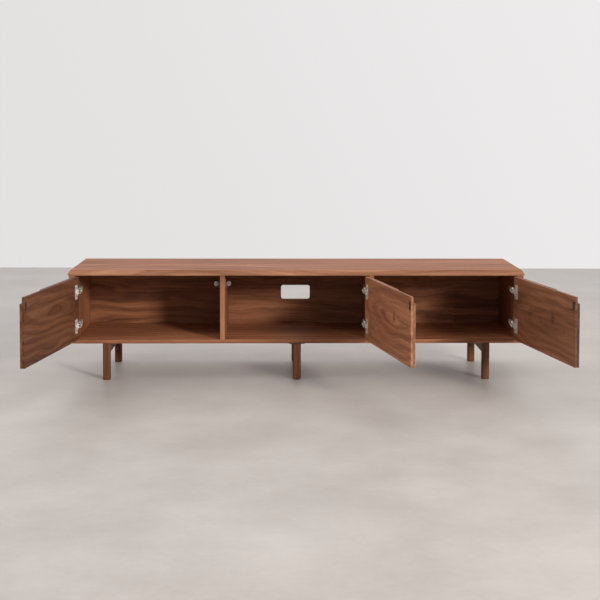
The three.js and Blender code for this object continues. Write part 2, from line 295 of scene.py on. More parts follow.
@dataclass(frozen=True)
class Walnut:
    """One oiled walnut board.

    The turn, origin and hand bring a board that hangs on a hinge back to its own frame.
    """

    name: str
    lay: Lay
    seed: float
    tone: float = 1.0
    figure: Optional[Figure] = None
    origin: Point = (0.0, 0.0, 0.0)
    turn: float = 0.0
    hand: float = 1.0
    ring: float = 0.030
    contrast: float = 1.0
    edge_band: Optional[EdgeToneAndLight] = None

    DARK = (0.066, 0.023, 0.012)
    BROWN = (0.160, 0.058, 0.027)
    WARM = (0.243, 0.096, 0.045)
    LIGHT = (0.352, 0.156, 0.080)
    OILED_ROUGHNESS = 0.58
    OILED_GLOSS = 0.20
    PORE_DEPTH = 0.25 * MM
    KNOT_DARKNESS = 0.62

    def build(self) -> bpy.types.Material:
        """Makes the material.

        Returns:
            A material that reads the piece's own coordinates.
        """
        made, graph = material(self.name)
        local = graph.node(
            "ShaderNodeMapping", {"vector_type": "TEXTURE"},
            {"Vector": graph.here(), "Location": self.origin,
             "Rotation": (0.0, 0.0, self.turn), "Scale": (self.hand, 1.0, 1.0)}).outputs[0]
        axes = graph.parts(local)
        along, across, through = (axes[i] for i in self.lay.value)
        board = graph.vector(along, across, through)
        offset = (self.seed * 3.17, self.seed * 1.73, self.seed * 0.61)

        def grain(scale: Point, detail: float, rough: float = 0.5) -> Value:
            """Noise drawn out along the board."""
            return graph.noise(graph.stretched(board, scale, offset), detail, rough)

        drift = grain((0.9, 3.2, 3.2), 2.0)
        ripple = grain((6.0, 30.0, 30.0), 3.0)
        bent = across + (drift - 0.5) * 0.10 + (ripple - 0.5) * 0.014 + through * 0.4
        rings = self._rings(along, bent, grain)
        fade = grain((1.9, 8.0, 8.0), 1.0).between(0.30, 0.68)
        broad = (rings.wave() - 0.5) * (fade * 0.75 + 0.25)
        fine = (rings * 3.3 + drift * 2.0).wave()
        cloud = grain((1.3, 7.0, 7.0), 4.0, 0.6)
        fibre = grain((9.0, 330.0, 330.0), 3.0, 0.6)
        streak = grain((2.4, 75.0, 75.0), 2.0)
        pore = grain((42.0, 1100.0, 1100.0), 2.0).between(0.60, 0.70)
        spread = self.contrast
        tone = (0.52 + broad * 0.36 * spread + (fine - 0.5) * 0.12 * spread
                + (cloud - 0.5) * (0.55 + 0.40 * spread)
                + (streak - 0.5) * 0.42 + (fibre - 0.5) * 0.30)
        stops = [(0.10, self._toned(self.DARK)), (0.38, self._toned(self.BROWN)),
                 (0.60, self._toned(self.WARM)), (0.92, self._toned(self.LIGHT))]
        wood = graph.ramp(tone, stops)
        wood = graph.mix(pore * 0.55, wood, self._toned(self.DARK))
        if self.figure is not None and self.figure.knot:
            wood = graph.mix(self._knot(along, across, streak, cloud), wood, self._toned(self.DARK))
        # The edge band multiplies the wood by its tone: painted highlight on lit edges and painted
        # shade on shaded ones, laid along that edge.
        if self.edge_band is not None:
            past = (axes[self.edge_band.axis] - self.edge_band.at) * self.edge_band.side
            strip = past.between(-0.2 * MM, 0.2 * MM)
            wood = graph.mix(strip, wood, self.edge_band.tone, "MULTIPLY")
        height = fibre * 0.6 - pore
        graph.surface({
            "Base Color": wood,
            "Roughness": (fibre - 0.5) * 0.22 + pore * 0.12 + self.OILED_ROUGHNESS,
            "Normal": graph.bump(height, self.PORE_DEPTH, 0.35),
            "Specular IOR Level": self.OILED_GLOSS,
        })
        return made

    def _rings(self, along: Value, bent: Value, grain: Callable) -> Value:
        """Year rings: nested ovals round a figure, or long slow bends without one.

        Args:
            along: The distance along the grain.
            bent: The distance across it, with its bends.
            grain: Noise drawn out along the board.

        Returns:
            A number that grows by 1 with each ring.
        """
        if self.figure is None:
            return bent / self.ring + grain((0.75, 2.4, 2.4), 1.0) * 5.0
        sway = grain((3.0, 5.0, 5.0), 2.0)
        reach = (along - self.figure.along + (sway - 0.5) * 0.22) / self.figure.length
        rise = bent - self.figure.across + (sway - 0.5) * 0.045
        core = self.figure.core ** 2
        apart = (reach * reach + rise * rise + core).root()
        return apart / self.ring + (grain((2.2, 9.0, 9.0), 3.0) - 0.5) * 2.6

    def _knot(self, along: Value, across: Value, streak: Value, cloud: Value) -> Value:
        """How dark the small knot is at the eye of the figure.

        Args:
            along: The distance along the grain.
            across: The distance across it.
            streak: Fine streaks.
            cloud: Slow changes of tone.

        Returns:
            0 off the knot, and most in its middle.
        """
        painted_light_share = (along - self.figure.along + (streak - 0.5) * 0.03) * 1.9
        rise = across - self.figure.across + (cloud - 0.5) * 0.08
        apart = (painted_light_share * painted_light_share + rise * rise).root()
        clear = apart.between(self.figure.knot * 0.15, self.figure.knot)
        return (1.0 - clear) * self.KNOT_DARKNESS

    def _toned(self, colour: Colour) -> Colour:
        """A colour made lighter or darker for this board."""
        return tuple(part * self.tone for part in colour)


@dataclass(frozen=True)
class Plated:
    """Pressed or cast metal with a satin plating."""

    name: str
    colour: Colour
    roughness: float = 0.30
    metallic: float = 1.0
    depth: float = 0.02 * MM

    def build(self) -> bpy.types.Material:
        """Makes the material with faint rolling lines and handling marks.

        Returns:
            The material.
        """
        made, graph = material(self.name)
        here = graph.here()
        lines = graph.noise(graph.stretched(here, (300.0, 300.0, 2600.0), (3.0, 1.0, 7.0)), 2.0)
        marks = graph.noise(graph.stretched(here, (95.0, 95.0, 95.0), (0.0, 5.0, 2.0)), 4.0)
        dull = tuple(part * 0.72 for part in self.colour)
        graph.surface({
            "Base Color": graph.mix(marks.between(0.45, 0.75), self.colour, dull),
            "Metallic": self.metallic,
            "Roughness": (lines - 0.5) * 0.16 + (marks - 0.5) * 0.20 + self.roughness,
            "Normal": graph.bump(lines, self.depth, 0.4),
        })
        return made


@dataclass(frozen=True)
class Moulded:
    """Moulded plastic, felt or powder coat: a fine even skin."""

    name: str
    colour: Colour
    roughness: float = 0.5
    grain: float = 900.0
    depth: float = 0.06 * MM

    def build(self) -> bpy.types.Material:
        """Makes the material with a stippled skin and a slow change of tone.

        Returns:
            The material.
        """
        made, graph = material(self.name)
        here = graph.here()
        scale = (self.grain,) * 3
        stipple = graph.noise(graph.stretched(here, scale, (2.0, 4.0, 1.0)), 2.0)
        cloud = graph.noise(graph.stretched(here, (60.0, 60.0, 60.0), (1.0, 2.0, 3.0)), 3.0)
        pale = tuple(min(1.0, part * 1.25 + 0.004) for part in self.colour)
        graph.surface({
            "Base Color": graph.mix(cloud.between(0.35, 0.75), self.colour, pale),
            "Roughness": (stipple - 0.5) * 0.2 + self.roughness,
            "Normal": graph.bump(stipple, self.depth, 0.5),
        })
        return made


class Finishes:
    """The finishes that several pieces share."""

    def __init__(self) -> None:
        """Builds each shared finish once."""
        self.nickel = Plated("satin_nickel", (0.82, 0.78, 0.72), 0.42, 0.70).build()
        self.bronze = Plated("dark_bronze", (0.10, 0.066, 0.046), 0.42, 0.85).build()
        self.brown = Plated("brown_bronze", (0.075, 0.040, 0.026), 0.45, 0.55).build()
        self.steel = Plated("pole_steel", (0.28, 0.27, 0.26), 0.35).build()
        self.grey = Moulded("catch_grey_plastic", (0.155, 0.115, 0.092), 0.45).build()
        self.black = Moulded("black_powder_coat", (0.020, 0.018, 0.017), 0.55).build()
        self.felt = Moulded("dark_felt", (0.035, 0.030, 0.027), 0.95, 1600.0, 0.4 * MM).build()


# ------------------------------------------------------------------------------ mesh helpers
def add_object(name: str, mesh: bpy.types.Mesh, finish: bpy.types.Material) -> bpy.types.Object:
    """Puts a mesh in the scene.

    Args:
        name: The piece's name.
        mesh: Its mesh, in place.
        finish: Its only material.

    Returns:
        The new object, at the origin.
    """
    mesh.materials.clear()
    mesh.materials.append(finish)
    made = bpy.data.objects.new(name, mesh)
    bpy.context.scene.collection.objects.link(made)
    return made


def settle(piece: bpy.types.Object, body: str, slot: str, *nodes: str) -> bpy.types.Object:
    """Puts a piece on its body.

    Args:
        piece: The finished piece.
        body: The body that it moves with.
        slot: Not used.
        nodes: The frame's nodes that it stands for.

    Returns:
        The same piece.
    """
    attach(piece, body)
    if nodes:
        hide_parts(*nodes)
    LOG.info("%s rides on %s", piece.name, body)
    return piece


def eased(
    node: str, finish: bpy.types.Material, radius: float, segments: int = 2
) -> bpy.types.Object:
    """A copy of a frame node with merged faces and eased edges.

    Args:
        node: The frame's node.
        finish: The copy's material.
        radius: The size of the easing, in metres.
        segments: Steps across the easing.

    Returns:
        The copy.
    """
    mesh = frame["nodes"][node].data.copy()
    work = bmesh.new()
    work.from_mesh(mesh)
    bmesh.ops.remove_doubles(work, verts=work.verts, dist=MERGE)
    bmesh.ops.dissolve_limit(
        work, angle_limit=SAME_PLANE, verts=work.verts, edges=work.edges)
    for face in work.faces:
        face.smooth = True
    work.to_mesh(mesh)
    work.free()
    mesh.set_sharp_from_angle(angle=SHARP_EDGE)
    made = add_object(f"{node}_eased", mesh, finish)
    ease = made.modifiers.new("ease", "BEVEL")
    ease.width = radius
    ease.segments = segments
    ease.limit_method = "ANGLE"
    ease.angle_limit = SHARP_EDGE
    ease.harden_normals = True
    return made


def dressed(
    node: str, finish: bpy.types.Material, radius: float, body: str, slot: str
) -> bpy.types.Object:
    """Puts an eased copy of a frame node on its body, in the node's place."""
    return settle(eased(node, finish, radius), body, slot, node)


class Outline:
    """A closed outline as a distance from its centre by angle."""

    def __init__(self, reach: Callable[[float], float]) -> None:
        """Keeps the distance function."""
        self.reach = reach

    @classmethod
    def circle(cls, radius: float) -> "Outline":
        """A circle."""
        return cls(lambda angle: radius)

    @classmethod
    def rounded(
        cls, low: Tuple[float, float], high: Tuple[float, float], corner: float
    ) -> "Outline":
        """A rectangle with rounded corners that holds the centre.

        Args:
            low: Its lowest corner from the centre.
            high: Its highest corner from the centre.
            corner: The corner radius.

        Returns:
            The outline.
        """
        middle = [(a + b) / 2 for a, b in zip(low, high)]
        half = [(b - a) / 2 - corner for a, b in zip(low, high)]

        def outside(x: float, y: float) -> bool:
            """Whether a point is past the outline.

            Args:
                x: The point's first coordinate from the centre.
                y: The point's second coordinate from the centre.

            Returns:
                True outside.
            """
            over = [abs(p - m) - h for p, m, h in zip((x, y), middle, half)]
            beyond = math.hypot(max(over[0], 0.0), max(over[1], 0.0))
            return beyond + min(max(over), 0.0) > corner

        def reach(angle: float) -> float:
            """Distance to the outline, by halving.

            Args:
                angle: The direction from the centre.

            Returns:
                How far it is.
            """
            near, far = 0.0, 1.0
            for _ in range(40):
                mid = (near + far) / 2
                if outside(mid * math.cos(angle), mid * math.sin(angle)):
                    far = mid
                else:
                    near = mid
            return near

        return cls(reach)

    def joined(self, other: "Outline") -> "Outline":
        """Both outlines together."""
        return Outline(lambda angle: max(self.reach(angle), other.reach(angle)))

    def points(self, steps: int) -> List[Tuple[float, float, float]]:
        """Direction and distance at even angles."""
        angles = [2 * math.pi * i / steps for i in range(steps)]
        return [(math.cos(a), math.sin(a), self.reach(a)) for a in angles]


@dataclass(frozen=True)
class Ring:
    """One loop of a shell: an outline, how far inside it, and its height."""

    outline: Outline
    inset: float
    height: float


def shell(
    name: str, rings: Sequence[Ring], place: Place, finish: bpy.types.Material, steps: int = 48,
    crease: float = 40.0,
) -> bpy.types.Object:
    """A closed solid through a row of loops, with a flat disc at both ends.

    Args:
        name: The piece's name.
        rings: Its loops, in order.
        place: Takes a loop's two coordinates and height to the point in the room.
        finish: Its material.
        steps: Corners in each loop.
        crease: The angle in degrees past which an edge stays sharp.

    Returns:
        The solid.
    """
    work = bmesh.new()
    known = {ring.outline: ring.outline.points(steps) for ring in rings}
    loops = []
    for ring in rings:
        loop = [work.verts.new(place(c * (r - ring.inset), s * (r - ring.inset), ring.height))
                for c, s, r in known[ring.outline]]
        loops.append(loop)
    for lower, upper in zip(loops, loops[1:]):
        for i in range(steps):
            j = (i + 1) % steps
            work.faces.new((lower[i], lower[j], upper[j], upper[i]))
    for loop, ring in ((loops[0], rings[0]), (loops[-1], rings[-1])):
        middle = work.verts.new(place(0.0, 0.0, ring.height))
        for i in range(steps):
            work.faces.new((loop[i], loop[(i + 1) % steps], middle))
    bmesh.ops.recalc_face_normals(work, faces=work.faces)
    for face in work.faces:
        face.smooth = True
    mesh = bpy.data.meshes.new(name)
    work.to_mesh(mesh)
    work.free()
    mesh.set_sharp_from_angle(angle=math.radians(crease))
    return add_object(name, mesh, finish)


def bar_rings(outline: Outline, low: float, high: float, ease: float) -> List[Ring]:
    """Loops of a bar with rounded ends.

    Args:
        outline: The bar's section.
        low: Where it starts.
        high: Where it ends.
        ease: The radius at both ends.

    Returns:
        The loops.
    """
    steps = 4
    turns = [math.pi / 2 * i / steps for i in range(steps + 1)]
    foot = [Ring(outline, ease * (1 - math.sin(t)), low + ease * (1 - math.cos(t))) for t in turns]
    head = [Ring(outline, ease * (1 - math.cos(t)), high - ease * (1 - math.sin(t))) for t in turns]
    return foot + head


def upright(x: float, y: float) -> Place:
    """Places a piece that stands at a point on the floor plan."""
    return lambda a, b, height: Vector((x + a, y + b, height))


def middle_of(node: str) -> Vector:
    """The middle of a frame node's box."""
    low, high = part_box(node)
    return (low + high) / 2


# ------------------------------------------------------------------------------------ screws
@dataclass(frozen=True)
class ScrewSpot:
    """Where a screw head sits, and which way it faces."""

    point: Vector
    outwards: Vector


class Screws:
    """Cross-head screws, all from one node tree."""

    SIDES = 20
    SEED = 7
    ATTRIBUTE = "outwards"
    TOP_SHARE = 0.66
    CROSS_REACH = 1.05
    HEIGHT_SHARE = 0.42
    CROSS_SHARE = 0.26

    def __init__(self) -> None:
        """Builds the node tree."""
        self.tree = bpy.data.node_groups.new("screw_heads", "GeometryNodeTree")
        self.graph = Graph(self.tree)
        self.sockets: Dict[str, str] = {}
        face = self.tree.interface
        face.new_socket("Spots", in_out="INPUT", socket_type="NodeSocketGeometry")
        for name in ("Head radius", "Head height", "Cross width"):
            made = face.new_socket(name, in_out="INPUT", socket_type="NodeSocketFloat")
            self.sockets[name] = made.identifier
        made = face.new_socket("Finish", in_out="INPUT", socket_type="NodeSocketMaterial")
        self.sockets["Finish"] = made.identifier
        face.new_socket("Heads", in_out="OUTPUT", socket_type="NodeSocketGeometry")
        self._wire()

    def _cutter(self, x: Value, y: Value, height: Value) -> bpy.types.NodeSocket:
        """One arm of the cross that is cut into a head, along the first two axes of the head.

        Args:
            x: Its size to the side.
            y: Its size up.
            height: The head's height.

        Returns:
            The cutter's mesh.
        """
        size = self.graph.vector(x, y, height)
        box = self.graph.node("GeometryNodeMeshCube", {}, {"Size": size}).outputs["Mesh"]
        lift = self.graph.vector(0.0, 0.0, height)
        sockets = {"Geometry": box, "Translation": lift}
        return self.graph.node("GeometryNodeTransform", {}, sockets).outputs["Geometry"]

    def _wire(self) -> None:
        """Links the head, its cross, its instances and its finish."""
        node = self.graph.node
        given = node("NodeGroupInput", {}, {}).outputs
        sizes = ("Head radius", "Head height", "Cross width")
        radius, height, cross = (Value(self.graph, given[name]) for name in sizes)
        head = node("GeometryNodeMeshCone", {}, {
            "Vertices": self.SIDES, "Radius Top": radius * self.TOP_SHARE,
            "Radius Bottom": radius, "Depth": height})
        arm = radius * self.CROSS_REACH
        cutters = [self._cutter(arm, cross, height), self._cutter(cross, arm, height)]
        cut = node("GeometryNodeMeshBoolean", {"operation": "DIFFERENCE"}, {
            0: head.outputs["Mesh"], 1: cutters})
        facing = node("GeometryNodeInputNamedAttribute", {"data_type": "FLOAT_VECTOR"}, {
            "Name": self.ATTRIBUTE})
        aligned = node("FunctionNodeAlignRotationToVector", {"axis": "Z"}, {
            "Vector": facing.outputs["Attribute"]})
        turn = node("FunctionNodeRandomValue", {"data_type": "FLOAT"}, {
            "Min": 0.0, "Max": math.pi / 2, "Seed": self.SEED})
        amount = next(s for s in turn.outputs if s.enabled)
        spin = node("FunctionNodeAxisAngleToRotation", {}, {
            "Axis": (0.0, 0.0, 1.0), "Angle": amount})
        rotation = node("FunctionNodeRotateRotation", {"rotation_space": "LOCAL"}, {
            "Rotation": aligned.outputs[0], "Rotate By": spin.outputs[0]})
        copies = node("GeometryNodeInstanceOnPoints", {}, {
            "Points": given["Spots"], "Instance": cut.outputs["Mesh"],
            "Rotation": rotation.outputs[0]})
        real = node("GeometryNodeRealizeInstances", {}, {"Geometry": copies.outputs[0]})
        done = node("GeometryNodeSetMaterial", {}, {
            "Geometry": real.outputs[0], "Material": given["Finish"]})
        node("NodeGroupOutput", {}, {"Heads": done.outputs[0]})

    def drive(
        self, name: str, spots: Sequence[ScrewSpot], radius: float, finish: bpy.types.Material,
        body: str, slot: str,
    ) -> bpy.types.Object:
        """Sets one row of screws on a body.

        Args:
            name: The piece's name.
            spots: Where the heads sit.
            radius: The head radius, in metres.
            finish: Their material.
            body: The body that they move with.
            slot: Not used.

        Returns:
            The heads as one mesh.
        """
        mesh = bpy.data.meshes.new(f"{name}_spots")
        mesh.from_pydata([spot.point for spot in spots], [], [])
        facing = mesh.attributes.new(self.ATTRIBUTE, "FLOAT_VECTOR", "POINT")
        for entry, spot in zip(facing.data, spots):
            entry.vector = spot.outwards
        base = bpy.data.objects.new(f"{name}_spots", mesh)
        bpy.context.scene.collection.objects.link(base)
        grow = base.modifiers.new("heads", "NODES")
        grow.node_group = self.tree
        grow[self.sockets["Head radius"]] = radius
        grow[self.sockets["Head height"]] = radius * self.HEIGHT_SHARE
        grow[self.sockets["Cross width"]] = radius * self.CROSS_SHARE
        grow[self.sockets["Finish"]] = finish
        bpy.context.view_layer.update()
        graph = bpy.context.evaluated_depsgraph_get()
        heads = bpy.data.meshes.new_from_object(base.evaluated_get(graph))
        bpy.data.objects.remove(base)
        return settle(add_object(name, heads, finish), body, slot)


# -------------------------------------------------------------------------------------- case
@dataclass
class CaseBody:
    """The boards of the case."""

    ease: float = 1.2 * MM
    fine_ease: float = 0.8 * MM
    edge_band: float = 1.2 * MM
    screw: float = 3.4 * MM
    screw_rise: float = 85 * MM
    screw_sunk: float = 0.42

    def build(self, finishes: Finishes, screws: Screws) -> None:
        """Makes the boards and the screws that hold the back.

        Args:
            finishes: The shared finishes.
            screws: The screw maker.
        """
        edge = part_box("left_divider")[0].y + self.edge_band
        # Painted light on the case's edges: the front edges of the sides and dividers are lightened
        # as a painted highlight, the bottom board's front is darkened as painted shade, and the top
        # board's edges and underside are paled as a painted sheen.
        strip = EdgeToneAndLight(1, edge, -1.0)
        sill_painted_shade = EdgeToneAndLight(1, edge, -1.0, (0.77, 0.82, 0.88))
        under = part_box("top_panel")[1].z - self.edge_band
        nose_painted_sheen = EdgeToneAndLight(2, under, -1.0, (1.02, 1.20, 1.38))
        bend = Figure(-0.60, 0.275, 6.0, 0.02)
        boards = (
            ("top_panel", Lay.FLAT, 1.0, 1.44, 0.060, 0.70, nose_painted_sheen, None),
            ("bottom_panel", Lay.FLAT, 2.3, 1.60, 0.050, 0.80, sill_painted_shade, None),
            ("back_panel", Lay.FRONT, 5.2, 1.12, 0.070, 0.95, None, bend),
            ("left_side_panel", Lay.UPRIGHT, 3.1, 1.30, 0.045, 0.75, strip, None),
            ("right_side_panel", Lay.UPRIGHT, 4.4, 1.05, 0.045, 0.75, strip, None),
            ("left_divider", Lay.UPRIGHT, 6.1, 1.28, 0.045, 0.80, strip, None),
            ("right_divider", Lay.UPRIGHT, 7.7, 1.28, 0.045, 0.80, strip, None),
        )
        for node, lay, seed, tone, ring, contrast, edge_band, figure in boards:
            walnut = Walnut(
                f"walnut_{node}", lay, seed, tone, figure, ring=ring, contrast=contrast,
                edge_band=edge_band)
            ease = self.fine_ease if node == "back_panel" else self.ease
            dressed(node, walnut.build(), ease, "case", "walnut_case")
        spots = []
        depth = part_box("back_panel")[1].y - self.screw * self.screw_sunk
        for divider in ("left_divider", "right_divider"):
            middle = middle_of(divider)
            for level in (-1, 0, 1):
                point = Vector((middle.x, depth, middle.z + level * self.screw_rise))
                spots.append(ScrewSpot(point, Vector((0.0, 1.0, 0.0))))
        screws.drive(
            "back_panel_screws", spots, self.screw, finishes.bronze, "case", "black_fitting")


@dataclass(frozen=True)
class Stand:
    """A piece that stands in the place of a frame node, such as a leg.

    It is square in plan with rounded corners, or round where it has no corner radius.
    """

    suffix: str
    slot: str
    foot: float
    head: float
    corner: Optional[float] = None
    steps: int = 96

    def build(self, node: str, finish: bpy.types.Material) -> None:
        """Makes the piece.

        Args:
            node: The frame's node.
            finish: Its material.
        """
        low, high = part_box(node)
        half = ((high.x - low.x) / 2, (high.y - low.y) / 2)
        outline = Outline.circle(half[0])
        if self.corner is not None:
            outline = Outline.rounded((-half[0], -half[1]), half, self.corner)
        foot = bar_rings(outline, low.z, high.z, self.foot)
        head = bar_rings(outline, low.z, high.z, self.head)
        rings = foot[:len(foot) // 2] + head[len(head) // 2:]
        middle = middle_of(node)
        place = upright(middle.x, middle.y)
        piece = shell(f"{node}_{self.suffix}", rings, place, finish, self.steps)
        settle(piece, "case", self.slot, node)


@dataclass
class LegSet:
    """Four square legs with their rails, and two round legs in the middle."""

    square: Stand = Stand("board", "walnut_leg", 1.5 * MM, 1.5 * MM, 5 * MM)
    turned: Stand = Stand("turned", "walnut_leg", 5 * MM, 0.6 * MM)
    plate: Stand = Stand("pressed", "black_fitting", 0.6 * MM, 0.6 * MM, 8 * MM)
    glide: Stand = Stand("pad", "black_fitting", 0.8 * MM, 0.8 * MM, steps=48)
    rail_ease: float = 1.5 * MM
    plate_screw_inset: float = 9 * MM
    plate_screw: float = 3.6 * MM
    plate_screw_sunk: float = 0.2 * MM
    rail_screw: float = 3.6 * MM
    rail_screw_step: float = 100 * MM
    rail_screw_sunk: float = 0.4 * MM
    rail_height: float = 44 * MM
    first_seed: float = 10.0
    seed_step: float = 1.3
    square_tone: float = 0.62
    turned_tone: float = 0.68
    rail_tone: float = 0.75

    def build(self, finishes: Finishes, screws: Screws) -> None:
        """Makes every leg, rail, plate and glide.

        Args:
            finishes: The shared finishes.
            screws: The screw maker.
        """
        seed = self.first_seed
        for side in ("left", "right"):
            for row in ("front", "rear"):
                node = f"{side}_{row}_leg"
                wood = Walnut(f"walnut_{node}", Lay.UPRIGHT, seed, self.square_tone, ring=0.022)
                self.square.build(node, wood.build())
                self.glide.build(f"{side}_{row}_glide", finishes.felt)
                seed += self.seed_step
            wood = Walnut(f"walnut_{side}_rail", Lay.RUNNER, seed, self.rail_tone)
            dressed(f"{side}_frame_rail", wood.build(), self.rail_ease, "case", "walnut_leg")
        for row in ("front", "rear"):
            node = f"center_{row}_leg"
            wood = Walnut(f"walnut_{node}", Lay.UPRIGHT, seed, self.turned_tone, ring=0.020)
            self.turned.build(node, wood.build())
            self.glide.build(f"center_{row}_glide", finishes.felt)
            self.plate.build(f"{node}_plate", finishes.black)
            seed += self.seed_step
        self._screws(finishes, screws)

    def _screws(self, finishes: Finishes, screws: Screws) -> None:
        """Screws in the centre plates and up through the rails.

        Args:
            finishes: The shared finishes.
            screws: The screw maker.
        """
        down = Vector((0.0, 0.0, -1.0))
        spots = []
        for row in ("front", "rear"):
            low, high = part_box(f"center_{row}_leg_plate")
            for x in (low.x + self.plate_screw_inset, high.x - self.plate_screw_inset):
                for y in (low.y + self.plate_screw_inset, high.y - self.plate_screw_inset):
                    point = Vector((x, y, low.z + self.plate_screw_sunk))
                    spots.append(ScrewSpot(point, down))
        screws.drive(
            "center_plate_screws", spots, self.plate_screw, finishes.nickel, "case",
            "black_fitting")
        spots = []
        for side in ("left", "right"):
            middle = middle_of(f"{side}_frame_rail")
            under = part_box(f"{side}_front_leg")[1].z - self.rail_height
            for step in (-self.rail_screw_step, self.rail_screw_step):
                point = Vector((middle.x, middle.y + step, under + self.rail_screw_sunk))
                spots.append(ScrewSpot(point, down))
        screws.drive(
            "rail_screws", spots, self.rail_screw, finishes.bronze, "case", "black_fitting")


# ------------------------------------------------------------------------------------- doors
@dataclass(frozen=True)
class DoorFrame:
    """A door's own frame: from its hinge axis to its free edge, closed."""

    pivot: Vector
    hand: float
    opening: float

    @classmethod
    def of(cls, name: str) -> "DoorFrame":
        """Reads a door's frame from its joint.

        Args:
            name: The door's name.

        Returns:
            Its frame at rest.
        """
        joint = next(j for j in frame["joints"] if j["name"] == f"{name}_door_hinge")
        return cls(Vector(joint["pos_m"]), float(joint["axis"][2]),
                   math.radians(joint["range_deg"][1]))

    @property
    def turn(self) -> float:
        """How far the door is turned at rest."""
        return -self.hand * self.opening

    def matrix(self) -> Matrix:
        """From the door's own frame to the room.

        Returns:
            The matrix.
        """
        shift = Matrix.Translation((self.pivot.x, self.pivot.y, 0.0))
        return (shift @ Matrix.Rotation(self.turn, 4, "Z")
                @ Matrix.Diagonal((self.hand, 1.0, 1.0, 1.0)))


